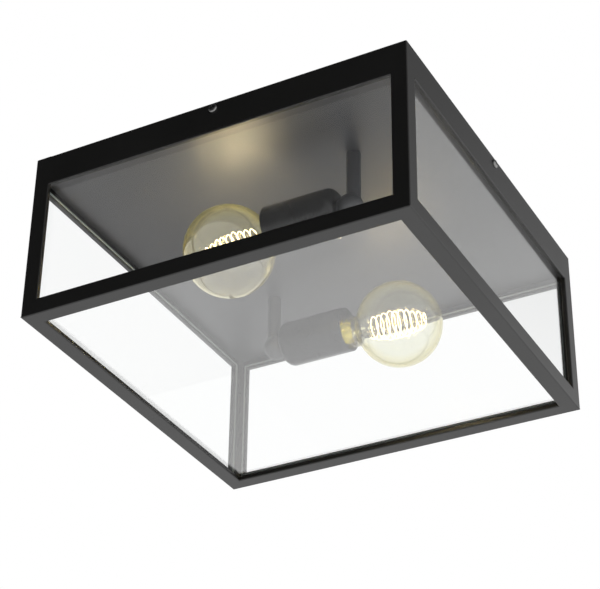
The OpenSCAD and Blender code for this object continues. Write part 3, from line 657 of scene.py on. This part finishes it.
def toothed_washer(outer, bore, height):
    """A sprung washer with teeth round its rim, each one twisted."""
    step = outer - 1.6
    washer = turned(
        [(bore, 0), (step, 0), (outer, 0), (outer, height), (step, height), (bore, height)], 96
    )
    for v in washer.verts:
        if math.hypot(v.co.x, v.co.y) > outer - 0.5:
            phase = (math.atan2(v.co.y, v.co.x) / math.tau * TEETH) % 1
            if phase < 0.45:
                shrink = (outer - 1.5) / outer
                v.co.x *= shrink
                v.co.y *= shrink
            else:
                tilt = (phase - 0.725) * 0.6
                v.co.z = min(max(v.co.z + tilt, 0), height)
    return washer


thread_rows = round((NIPPLE_TOP - STEM_HEAD) / NIPPLE_PITCH * 8)
for rear, end in ENDS.items():
    stem = turned(
        [(BORE_R, STEM_FOOT + 0.2), (BORE_R + 0.2, STEM_FOOT), (STEM_R - 0.3, STEM_FOOT),
         (STEM_R, STEM_FOOT + 0.3), (STEM_R, STEM_HEAD - 0.01), (NIPPLE_R, STEM_HEAD)]
        + upright(NIPPLE_R, STEM_HEAD + 0.1, NIPPLE_TOP - 0.5, thread_rows)
        + [(NIPPLE_R - 0.5, NIPPLE_TOP), (BORE_R + 0.1, NIPPLE_TOP), (BORE_R, NIPPLE_TOP - 0.1)],
        64,
    )
    roll_thread(
        stem, NIPPLE_R, -NIPPLE_DEPTH, NIPPLE_PITCH, STEM_HEAD + 0.5, NIPPLE_TOP - 0.2
    )
    paint_faces(stem, 1, lambda face: face.calc_center_median().z > STEM_HEAD)
    finished(stem, end + "_stem", fitting_coat, zinc, place=on_arm(rear))
    elbow = frame["nodes"][end + "_elbow"]
    elbow.data.materials[0] = fitting_coat.owner

nut_places = [
    on_arm(rear) @ Matrix.Translation((0, 0, ARM_Z + TRAY_FLOOR + WASHER_H)) for rear in ENDS
] + [
    on_arm(rear) @ Matrix.Translation((ELBOW_NUT_X, 0, 0)) @ Matrix.Rotation(math.pi / 2, 4, "Y")
    for rear in ENDS
]
finished(
    join([
        (hexagon_nut(NUT_FLATS, NUT_H, NIPPLE_R + 0.05, NIPPLE_PITCH), place)
        for place in nut_places
    ]),
    "arm_locknuts", zinc,
)
finished(
    join([
        (toothed_washer(NUT_FLATS / 2 + 1, NIPPLE_R + 0.3, WASHER_H),
         on_arm(rear) @ Matrix.Translation((0, 0, ARM_Z + TRAY_FLOOR)))
        for rear in ENDS
    ]),
    "stem_washers", zinc,
)

# ------------------------------------------------------------------ lampholders
# A drawn steel cup hides a glazed ceramic insert, which takes the lamp's cap in a rolled brass
# thread. A sprung tongue feeds the tip. Two long screws hold the insert to a steel bridge with
# some play, so a heavy lamp lets it hang down a little.
TILT_U, DROOP = 30.0, math.radians(5)
INSERT_SEAT, INSERT_MOUTH = 38.0, 66.0
INSERT_ROUNDING, TONGUE_BURR, TONGUE_EDGE, FIXING_BURR, FIXING_EDGE = 0.35, 0.12, 6, 0.15, 0.2
THREAD_PITCH, SOCKET_IN, SOCKET_OUT, SOCKET_DEPTH = 3.62, 13.35, 13.75, 0.5
CUP_BLACK = (0.008, 0.008, 0.008)


def on_insert(rear):
    """Place of the drooping insert: its axis along Z, with zero at the stem."""
    return (
        on_arm(rear) @ Matrix.Translation((TILT_U, 0, 0)) @ Matrix.Rotation(DROOP, 4, "Y")
        @ Matrix.Translation((-TILT_U, 0, 0)) @ Matrix.Rotation(math.pi / 2, 4, "Y")
    )


def glazed_ceramic():
    """Off-white ceramic under a glaze with slow waves and a few brown specks."""
    glaze = Finish("glazed_ceramic")
    cloud = glaze.spread(glaze.noise(40, 3), 0.3, 0.7)
    specks = glaze.spread(glaze.noise(1600, 1), 0.7, 0.76)
    pull = glaze.noise(160, 1)
    tone = glaze.blend((0.74, 0.72, 0.67), (0.82, 0.80, 0.76), cloud)
    return glaze.close(glaze.body(**{
        "Base_Color": glaze.blend(tone, (0.40, 0.34, 0.26), 0.5 * specks),
        "Roughness": 0.14 + 0.08 * cloud,
        "Coat_Weight": 0.5,
        "Coat_Roughness": 0.06,
        "Normal": glaze.bump(pull, 0.00015),
    }))


ceramic = glazed_ceramic()
cup_coat = powder_coat("cup_coat", CUP_BLACK, 0.26, 0.0000025, 0.45)
thread_low, thread_high = INSERT_SEAT + 2.5, INSERT_MOUTH - 2
rows = round((thread_high - thread_low) / THREAD_PITCH * 12)
for rear, end in ENDS.items():
    shell = frame["nodes"][end + "_holder_shell"]
    shell.data.materials[0] = cup_coat.owner
    insert = soften(from_cad(end + "_holder_insert"), INSERT_ROUNDING, segments=3)
    finished(insert, end + "_holder_insert", ceramic)
    socket = turned(
        upright(SOCKET_IN, thread_low, thread_high, rows)
        + upright(SOCKET_OUT, thread_high, thread_low, rows),
        96,
    )
    for radius in (SOCKET_IN, SOCKET_OUT):
        roll_thread(socket, radius, SOCKET_DEPTH, THREAD_PITCH, thread_low, thread_high)
    finished(socket, end + "_thread_shell", brass, place=on_insert(rear))
    tongue = soften(from_cad(end + "_centre_contact"), TONGUE_BURR, longer_than(TONGUE_EDGE))
    finished(tongue, end + "_centre_contact", brass)
fixings = soften(from_cad("insert_fixings"), FIXING_BURR, longer_than(FIXING_EDGE))
finished(fixings, "insert_fixings", zinc)

# ------------------------------------------------------------------ lamps
# Two clear globe lamps. A rolled brass cap with a black glass insulator and a solder tip is
# cemented to the neck. The flared glass mount carries the wires and a wide glowing spiral.
LAMP_TIP = {False: 40.0, True: 50.5}
CAP_LEN, CAP_BASE, CAP_ROOT, CAP_CREST = 26.5, 8.0, 12.15, 13.05
GLOBE_R, GLOBE_T, GLOBE_S, NECK_R, FILLET = 40.0, 0.8, 81.0, 14.0, 9.0
COIL_TURNS, COIL_LEN, COIL_R, COIL_WIRE, COIL_S = 10, 56.0, 12.8, 0.45, 53.0
COIL_WIDEST, COIL_BELLY, COIL_STEPS = 0.4, 1.7, 36
ROD_R, HOOK_R, HOOK_TURNS = 0.45, 0.22, (0, 1.75, 4.5, 7.25, 10)
GLOW, SHOWN_GLOW = {False: 60.0, True: 22.0}, 2.2
GLOBE_TINT, GLOBE_EDGE, GLOBE_BENDING = (0.967, 0.972, 0.885), (0.80, 0.69, 0.10), 1.52
FOOT, BEAD, NECK_END = CAP_LEN - 0.2, COIL_S + 0.5, CAP_ROOT - 0.15
PINCH_S, PINCH_HALF = 15.5, 6
# Radius and height: the mount's flared tube over the foot, and its glass button round the bead.
FLARE = (
    (0, 13.5), (1.4, 12.5), (2.5, 9.4), (3.7, 6.9), (5.4, 4.5), (7.1, 2.4), (8.7, 0.9), (10.1, 0),
    (10.4, 0.3), (9.6, 1.4), (8.0, 2.9), (6.4, 5.0), (4.8, 7.2), (3.6, 9.6), (3.2, 12),
    (3.05, 15), (3.0, 18), (2.6, 20), (1.9, 21.4), (1.6, 22.4),
)
BUTTON = ((1.6, -2.4), (1.9, -1.6), (2.4, -0.8), (2.4, 0.6), (1.9, 1.6), (1.0, 1.95), (0, 2))


def clear_glass(name, tint, edge_tint, bending, clarity=1.0, film=0.0):
    """Glass that the camera sees as glass, while light from lamps, and soft light on its way
    to a surface, goes straight through. It is more deeply coloured where it is seen edge on,
    and a film on it gives a faint sheen there."""
    glass = Finish(name)
    edge_on = glass.node("ShaderNodeLayerWeight", (), {"Blend": 0.5}, output="Facing")
    streaks = glass.spread(glass.noise(25, 1), 0.3, 0.7)
    tone = glass.blend(tint, edge_tint, glass.spread(edge_on + 0.05 * streaks, 0.32, 0.95))
    see = glass.body(**{
        "Base_Color": tone, "Roughness": 0.0, "IOR": bending, "Transmission_Weight": clarity,
        "Sheen_Weight": film, "Sheen_Roughness": 0.25, "Sheen_Tint": edge_tint,
    })
    through = glass.node("ShaderNodeBsdfTransparent", (), {"Color": (0.96, 0.96, 0.96)})
    mirrored = glass.for_ray("Is Singular Ray", see, through)
    mixed = glass.for_ray("Is Glossy Ray", mirrored, see)
    for ray in ("Is Diffuse Ray", "Is Shadow Ray"):
        mixed = glass.for_ray(ray, through, mixed)
    return glass.close(mixed)


def plain_metal(name, dark, pale, roughness, lumps):
    """Bare metal with dark and pale patches that stand up a little."""
    metal = Finish(name)
    patches = metal.spread(metal.noise(500, 3), 0.35, 0.7)
    return metal.close(metal.body(**{
        "Base_Color": metal.blend(dark, pale, patches),
        "Metallic": 1.0,
        "Roughness": roughness + 0.15 * patches,
        "Normal": metal.bump(patches, lumps),
    }))


def basing_cement():
    """The ochre cement that holds the cap on the neck: grainy and slightly patchy."""
    filler = Finish("basing_cement")
    patches = filler.spread(filler.noise(260, 3), 0.35, 0.7)
    grain = filler.noise(1800, 2)
    mottle = 0.6 * patches + 0.4 * grain
    return filler.close(filler.body(**{
        "Base_Color": filler.blend((0.24, 0.23, 0.003), (0.36, 0.34, 0.008), mottle),
        "Roughness": 0.7 + 0.2 * grain,
        "Specular_IOR_Level": 0.2,
        "Normal": filler.bump(grain, 0.0002),
    }))


def black_glass():
    """Black glass with a violet swirl, as moulded for lamp caps."""
    insulator = Finish("black_glass")
    swirl = insulator.spread(insulator.noise(300, 2), 0.4, 0.7)
    return insulator.close(insulator.body(**{
        "Base_Color": insulator.blend((0.012, 0.008, 0.018), (0.05, 0.035, 0.065), swirl),
        "Roughness": 0.08 + 0.1 * swirl,
        "Normal": insulator.bump(swirl, 0.0001),
    }))


def glowing_wire(name, strength):
    """The spiral lights the lantern at its full strength, and is seen at the strength that
    a picture exposed for the room would show."""
    glow = Finish(name)
    beads = glow.spread(glow.noise(500, 0), 0.3, 0.7)
    colour = glow.blend((1.0, 0.78, 0.40), (1.0, 0.85, 0.52), beads)
    pale = glow.blend((1.0, 0.88, 0.62), (1.0, 0.94, 0.78), beads)
    full, shown = (
        glow.body(**{
            "Base_Color": (0.9, 0.75, 0.4), "Roughness": 0.5,
            "Emission_Color": tone, "Emission_Strength": level,
        })
        for tone, level in ((colour, strength), (pale, SHOWN_GLOW))
    )
    for ray in ("Is Camera Ray", "Is Transmission Ray"):
        full = glow.for_ray(ray, shown, full)
    return glow.close(full)


def globe_line(inset, steps):
    """From the globe's pole to its neck, this far inside the outer skin."""
    r, n, f = GLOBE_R - inset, NECK_R - inset, FILLET + inset
    rise = math.sqrt((r + f) ** 2 - (n + f) ** 2)
    meet = math.atan2(n + f, rise)
    ball = [(math.pi - meet) * k / steps for k in range(steps + 1)]
    bend = [meet + (math.pi / 2 - meet) * k / 12 for k in range(1, 13)]
    return [(r * math.sin(a), GLOBE_S + r * math.cos(a)) for a in ball] + [
        (n + f - f * math.sin(a), GLOBE_S - rise + f * math.cos(a)) for a in bend
    ]


def coil_point(share):
    """A point of the spiral, which bellies out and is slightly uneven."""
    angle = math.tau * COIL_TURNS * share
    belly = 1 - COIL_BELLY * (share - COIL_WIDEST) ** 2
    r = COIL_R * belly * (1 + 0.04 * math.sin(0.37 * angle))
    along = COIL_S + COIL_LEN * share + 0.5 * math.sin(math.pi * share) * math.sin(0.61 * angle)
    return Vector((r * math.cos(angle), r * math.sin(angle), along))


def cemented(face):
    """The ring in the cap's mouth, which shows through the neck."""
    return face.normal.z > 0.3 and face.calc_center_median().z > FOOT - 1


globe_glass = clear_glass("globe_glass", GLOBE_TINT, GLOBE_EDGE, GLOBE_BENDING, 0.988, 0.6)
cement = basing_cement()
insulator_glass = black_glass()
solder = plain_metal("solder", (0.36, 0.35, 0.34), (0.62, 0.61, 0.60), 0.3, 0.0003)
grey_wire = plain_metal("grey_wire", (0.16, 0.155, 0.15), (0.34, 0.33, 0.32), 0.35, 0.00005)
glow = {rear: glowing_wire(end + "_glow", GLOW[rear]) for rear, end in ENDS.items()}
thread_low, thread_high = CAP_BASE + 1, CAP_BASE + 1 + 4 * THREAD_PITCH
for rear, end in ENDS.items():
    place = on_insert(rear) @ Matrix.Translation((0, 0, LAMP_TIP[rear]))
    cap = turned(
        [(0, CAP_BASE), (11.0, CAP_BASE), (11.5, CAP_BASE + 0.15), (11.95, CAP_BASE + 0.5)]
        + upright(CAP_ROOT, thread_low, thread_high, 64)
        + [(CAP_ROOT, CAP_LEN - 1.8), (12.25, CAP_LEN - 1.2), (12.55, CAP_LEN - 0.6),
           (12.9, CAP_LEN - 0.1), (12.85, CAP_LEN), (12.6, CAP_LEN), (12.3, CAP_LEN - 0.3),
           (12.1, FOOT - 0.3), (0, FOOT - 0.3)],
        96,
    )
    roll_thread(cap, CAP_ROOT, CAP_CREST - CAP_ROOT, THREAD_PITCH, thread_low, thread_high)
    paint_faces(cap, 1, cemented)
    finished(cap, end + "_lamp_cap", brass, cement, place=place)
    insulator = turned([
        (0, 2.5), (5.0, 2.5), (5.3, 2.7), (6.2, 3.4), (7.0, 4.1), (8.4, 5.4), (9.8, 6.7),
        (10.8, 7.6), (11.2, 8.0), (0, 8.0),
    ], 64)
    finished(insulator, end + "_lamp_insulator", insulator_glass, place=place)
    tip = turned([
        (0, 0), (1.2, 0.03), (2.2, 0.15), (3.0, 0.4), (3.7, 0.8), (4.2, 1.2), (4.55, 1.8),
        (4.8, 2.4), (4.8, 2.5), (0, 2.5),
    ], 40)
    finished(tip, end + "_lamp_tip", solder, place=place)
    neck = [
        (NECK_R, CAP_LEN + 2.0), (NECK_R - 0.3, CAP_LEN + 1.2), (NECK_R - 1.2, CAP_LEN + 0.5),
        (NECK_END, CAP_LEN + 0.2),
    ]
    rim = [(NECK_END, FOOT + 0.2), (NECK_END - 0.2, FOOT), (NECK_END - GLOBE_T + 0.2, FOOT)]
    inside = [(NECK_END - GLOBE_T, FOOT + 0.2), (NECK_END - GLOBE_T, CAP_LEN + 1.5)]
    globe = turned(
        globe_line(0, 64) + neck + rim + inside + globe_line(GLOBE_T, 64)[::-1], 96
    )
    finished(globe, end + "_lamp_globe", globe_glass, place=place, smooth=60)
    mount = turned([(r, FOOT + z) for r, z in FLARE] + [(r, BEAD + z) for r, z in BUTTON], 48)
    for v in mount.verts:
        pinch = max(0, 1 - abs(v.co.z - FOOT - PINCH_S) / PINCH_HALF)
        v.co.x *= 1 + 0.3 * pinch
        v.co.y *= 1 - 0.4 * pinch
    finished(mount, end + "_lamp_mount", globe_glass, place=place, smooth=60)
    spokes = [wire([Vector((0, 0, BEAD + 2)), Vector((0, 0, COIL_S + COIL_LEN + 0.4))], ROD_R)]
    for turn in HOOK_TURNS:
        outside = coil_point(turn / COIL_TURNS)
        flat = Vector((outside.x, outside.y, 0)).normalized()
        hook = [
            outside + (COIL_WIRE + HOOK_R) * (math.cos(a) * -flat + math.sin(a) * UP)
            for a in (math.radians(d) for d in range(0, 200, 25))
        ]
        start = Vector((0, 0, outside.z)) + flat * (0 if turn else 2.2)
        spokes.append(wire([start, *hook], HOOK_R, roundness=1))
    wires = join([(spoke, AS_IT_IS) for spoke in spokes])
    finished(wires, end + "_lamp_supports", grey_wire, place=place)
    count = COIL_TURNS * COIL_STEPS
    coil = wire([coil_point(k / count) for k in range(count + 1)], COIL_WIRE)
    finished(coil, end + "_lamp_filament", glow[rear], place=place)

# ------------------------------------------------------------------ lantern frame
# Folded steel sheet, 1.2 mm thick: a top band and a bottom rail on each side and four corner
# posts. All joints are welded, ground flush and hidden under satin black powder.
FOLD_R, FOLD_LENGTH = 0.5, 100
FRAME_BLACK = (0.0075, 0.0075, 0.007)
CORNERS = ("front_right", "rear_right", "rear_left", "front_left")
frame_coat = powder_coat("frame_coat", FRAME_BLACK, 0.36, 0.000015, 0.7)
bars = [f"{side}_{part}" for side in SIDES for part in ("band", "rail")]
for name in bars + [corner + "_post" for corner in CORNERS]:
    folded = soften(from_cad(name), FOLD_R, longer_than(FOLD_LENGTH), segments=3)
    finished(folded, name, frame_coat)

# ------------------------------------------------------------------ glazing
# Five panes of clear float glass with ground edges. Each is bonded behind the folded lips with
# a bead of black silicone. BENDING sets how much of the room each pane mirrors.
CLEAR, EDGE_ON = (0.996, 0.999, 0.998), (0.98, 0.995, 0.988)
BENDING = {"front": 1.3, "right": 2.0, "rear": 1.12, "left": 1.12, "floor": 2.0}
PANE_EDGE, BEAD_ROUNDING, BEAD_LENGTH = 0.5, 0.3, 50


def ground_edge():
    """Glass edges ground matt: pale, slightly green, and grainy."""
    edge = Finish("ground_edge")
    grain = edge.noise(2200, 2)
    return edge.close(edge.body(**{
        "Base_Color": edge.blend((0.30, 0.34, 0.33), (0.44, 0.48, 0.47), grain),
        "Roughness": 0.45 + 0.2 * grain,
        "Normal": edge.bump(grain, 0.0001),
    }))


def silicone():
    """Black silicone: smoothed by a finger, so it ripples along its length."""
    bead = Finish("black_silicone")
    ripple = bead.noise(120, 2)
    skin = bead.noise(1800, 1)
    return bead.close(bead.body(**{
        "Base_Color": bead.blend((0.012, 0.012, 0.012), (0.03, 0.03, 0.03), ripple),
        "Roughness": 0.32 + 0.15 * skin,
        "Normal": bead.bump(ripple, 0.0004),
    }))


ground = ground_edge()
for side, bending in BENDING.items():
    name = side + "_pane"
    pane = soften(from_cad(name), PANE_EDGE, segments=1)
    big = max(face.calc_area() for face in pane.faces)
    paint_faces(pane, 1, lambda face: face.calc_area() < 0.5 * big)
    finished(pane, name, clear_glass(name + "_glass", CLEAR, EDGE_ON, bending), ground, smooth=20)
beads = soften(from_cad("glazing_beads"), BEAD_ROUNDING, longer_than(BEAD_LENGTH))
finished(beads, "glazing_beads", silicone())

# ------------------------------------------------------------------ clamp screws
# One pan head screw in the middle of each top band turns in a nut welded behind the sheet. Its
# end presses on the tray and holds the lantern up.
CLAMP_Z, HALF_W, SHEET = -6.0, 180.0, 1.2
WELD_NUT_FLATS, WELD_NUT_H, CLAMP_SCREW_LEN = 7.0, 3.0, 4.95
CLAMP_TURNS = (0.35, 1.1, 0.7, 0.1)
DULL_BLUISH, DULL_YELLOWISH = (0.23, 0.235, 0.24), (0.32, 0.315, 0.30)
nuts = [
    (hexagon_nut(WELD_NUT_FLATS, WELD_NUT_H, SCREW_R + 0.05, SCREW_PITCH),
     at_side(i, 0, HALF_W - SHEET, CLAMP_Z) @ Matrix.Rotation(math.pi, 4, "X"))
    for i in (FRONT, RIGHT, REAR, LEFT)
]
finished(join(nuts), "weld_nuts", zinc)
aged_zinc = zinc_plate("aged_zinc", DULL_BLUISH, DULL_YELLOWISH)
for i, side in enumerate(SIDES):
    place = at_side(i, 0, HALF_W, CLAMP_Z) @ Matrix.Rotation(CLAMP_TURNS[i], 4, "Z")
    finished(pan_screw(CLAMP_SCREW_LEN), side + "_clamp_screw", aged_zinc, place=place)

# ------------------------------------------------------------------ studio
# A pale floor far below, a plain white surround, and a darker part of the room behind the
# photographer that the front of the lantern mirrors.
FLOOR_Z, FLOOR_HALF = -2.4, 8.0
DARK_SIDE = Vector((-0.40, -0.74, 0.53))
KEY_PLACE, KEY_AIM = Vector((1.6, 1.8, 0.9)), Vector((0, 0, -0.1))
KEY_SIZE, KEY_POWER = (1.6, 1.2), 6


def studio_floor():
    """Matt card for the light that falls on it, and plain white where glass or gloss shows it."""
    pale = Finish("pale_floor")
    cloud = pale.spread(pale.noise(3, 3), 0.2, 0.8)
    card = pale.body(**{
        "Base_Color": pale.blend((0.80, 0.80, 0.80), (0.84, 0.84, 0.84), cloud), "Roughness": 0.8,
    })
    white = pale.node("ShaderNodeEmission", (), {"Color": (1, 1, 1), "Strength": 1.0})
    camera_ray, glossy_ray, passed_ray = (
        pale.node("ShaderNodeLightPath", output=ray)
        for ray in ("Is Camera Ray", "Is Glossy Ray", "Is Transmission Ray")
    )
    share = 0.6 * camera_ray + 0.97 * glossy_ray + (1 - glossy_ray) * passed_ray
    return pale.close(pale.node("ShaderNodeMixShader", (), {0: share, 1: card, 2: white}))


sheet = bmesh.new()
bmesh.ops.create_grid(
    sheet, x_segments=1, y_segments=1, size=FLOOR_HALF, matrix=Matrix.Translation((0, 0, FLOOR_Z))
)
floor_mesh = bpy.data.meshes.new("studio_floor")
sheet.to_mesh(floor_mesh)
sheet.free()
floor_mesh.materials.append(studio_floor().owner)
floor = bpy.data.objects.new("studio_floor", floor_mesh)
bpy.context.collection.objects.link(floor)

surround = Finish("surround", bpy.data.worlds.new("surround"))
bpy.context.scene.world = surround.owner
direction = surround.node("ShaderNodeTexCoord", output="Generated")
facing = surround.node(
    "ShaderNodeVectorMath", {"operation": "DOT_PRODUCT"},
    {0: direction, 1: DARK_SIDE.normalized()}, output="Value",
)
height = surround.node("ShaderNodeSeparateXYZ", (), {0: direction}, output="Z")
dark = surround.spread(facing, 0.35, 0.8)
overhead = surround.spread(height, 0.40, 0.62)
room = (1 - 0.93 * dark) * (1 - 0.82 * overhead)
seen = {
    ray: surround.node("ShaderNodeLightPath", output=ray)
    for ray in ("Is Camera Ray", "Is Transmission Ray", "Is Glossy Ray")
}
plain = surround.node(
    "ShaderNodeMath", {"operation": "MAXIMUM"},
    {0: seen["Is Camera Ray"], 1: seen["Is Transmission Ray"]},
)
for_gloss = seen["Is Glossy Ray"] * room
for_matt = (1 - seen["Is Glossy Ray"]) * (0.95 * (1 - 0.6 * dark))
lit = (1 - plain) * (for_gloss + for_matt)
backdrop = surround.node(
    "ShaderNodeBackground", (), {"Color": (1, 1, 1), "Strength": plain + lit}
)
surround.close(backdrop, "ShaderNodeOutputWorld")

key = bpy.data.lights.new("key_light", "AREA")
key.shape = "RECTANGLE"
key.size, key.size_y = KEY_SIZE
key.energy = KEY_POWER
key_light = bpy.data.objects.new("key_light", key)
bpy.context.collection.objects.link(key_light)
key_light.location = KEY_PLACE
key_light.rotation_euler = (KEY_AIM - KEY_PLACE).to_track_quat("-Z", "Y").to_euler()
key_light.visible_camera = False
key_light.visible_glossy = False
key_light.visible_transmission = False
bpy.context.scene.view_settings.view_transform = "Standard"
